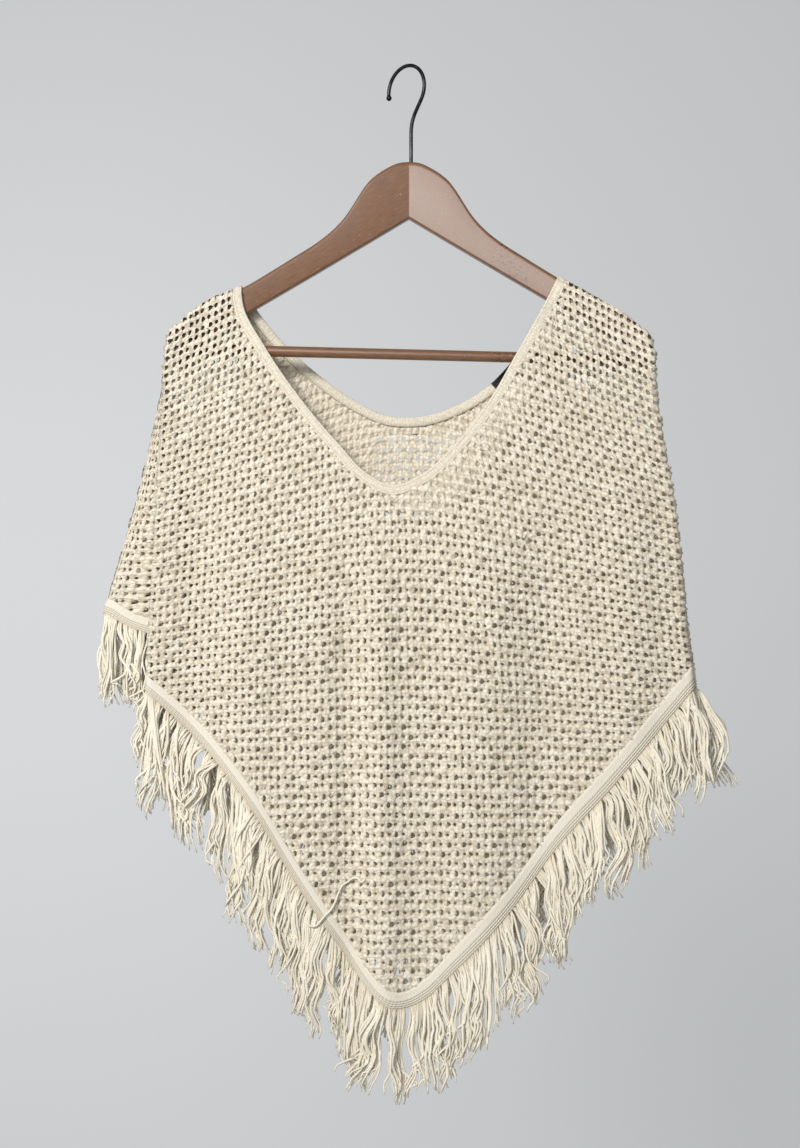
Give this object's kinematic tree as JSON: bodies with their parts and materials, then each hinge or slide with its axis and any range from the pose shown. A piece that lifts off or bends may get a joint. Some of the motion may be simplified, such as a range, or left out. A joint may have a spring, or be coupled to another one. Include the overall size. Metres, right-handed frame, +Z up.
{
  "type": "knitted poncho sweater on a wooden coat hanger",
  "caption": "Openwork knitted poncho with a V neck, a pointed hem and a long yarn fringe, hanging on a contoured wooden coat hanger with a wire hook.",
  "frame": {"origin": "inside top of the hook's crook, where a rod bears", "axes": "+Z up, -Y towards the front of the garment, +X towards the viewer's right when the front is seen"},
  "size_m": [0.604, 0.0761, 0.9631],
  "materials": {
    "knit": "matt cream yarn, openwork knit",
    "band": "matt cream yarn, dense rib",
    "yarn": "matt cream loose yarn",
    "label": "plain dark woven tape",
    "wood": "dark brown satin lacquer",
    "metal": "polished black"
  },
  "bodies": {
    "root": {"front_panel": "knit", "back_panel": "knit", "neckband": "band", "hem_band_front": "band", "hem_band_back": "band", "fringe_front": "yarn", "fringe_back": "yarn", "neck_label": "label", "hanger_arm_left": "wood", "hanger_arm_right": "wood", "hanger_bar": "wood", "hanger_hook": "metal"}
  },
  "joints": []
}
